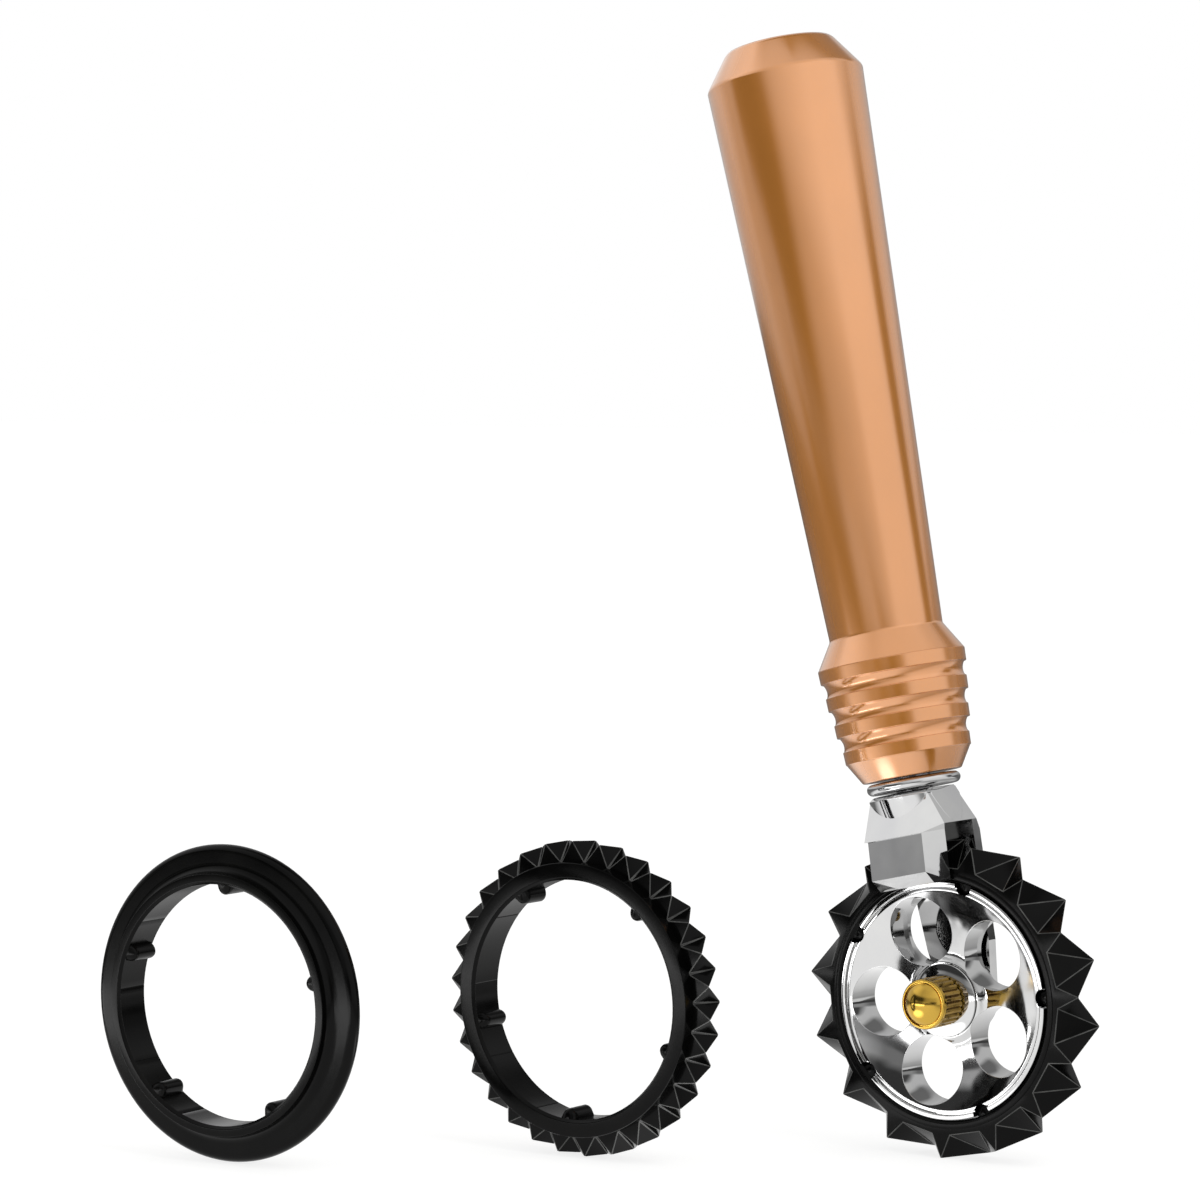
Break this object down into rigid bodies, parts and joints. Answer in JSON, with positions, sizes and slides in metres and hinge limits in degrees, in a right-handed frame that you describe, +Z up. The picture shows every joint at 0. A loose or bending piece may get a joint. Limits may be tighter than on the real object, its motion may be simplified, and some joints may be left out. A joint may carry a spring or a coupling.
{
  "type": "pasta wheel",
  "caption": "Hand-held pasta cutter with a tapered metal handle, chromed fork, free-turning hub and zigzag ring, and spare zigzag and smooth rings that stand beside it.",
  "frame": {"origin": "on the handle's axis halfway up its shaft, where a hand holds it", "axes": "+Y along the wheel's axle with the knob towards -Y, +Z up, +X to the right as seen from the knob's side; the handle leans towards -X"},
  "size_m": [0.1378, 0.0902, 0.1777],
  "materials": {
    "handle": "copper-coloured anodised, satin",
    "stud": "turned",
    "chrome": "polished",
    "brass": "polished, knurled round the knob",
    "black_plastic": "moulded, gloss"
  },
  "bodies": {
    "tool": {"handle": "handle", "handle_stud": "stud", "collar": "chrome", "fork": "chrome"},
    "wheel": {"hub": "chrome", "large_zigzag_ring": "black_plastic"},
    "washer": {"front_washer": "chrome"},
    "screw": {"axle_screw": "brass"},
    "spare_zigzag": {"small_zigzag_ring": "black_plastic"},
    "spare_smooth": {"smooth_ring": "black_plastic"}
  },
  "joints": [
    {"name": "wheel_spin", "type": "hinge", "parent": "tool", "child": "wheel", "pos_m": [0.02265, 0, -0.10132], "axis": [0, 1, 0], "continuous": true},
    {"name": "axle_out", "type": "slide", "parent": "tool", "child": "washer", "axis": [0, -1, 0], "range_m": [0, 0.00175]},
    {"name": "axle_turn", "type": "hinge", "parent": "washer", "child": "screw", "pos_m": [0.02265, 0, -0.10132], "axis": [0, -1, 0], "range_deg": [0, 900]},
    {"name": "lift_spare_zigzag", "type": "slide", "parent": "tool", "child": "spare_zigzag", "axis": [0, 0, 1], "range_m": [0, 0.05]},
    {"name": "lift_spare_smooth", "type": "slide", "parent": "tool", "child": "spare_smooth", "axis": [0, 0, 1], "range_m": [0, 0.05]}
  ],
  "couplings": [
    {"joint": "axle_turn", "follows": "axle_out", "rad_per_m": 8976}
  ]
}
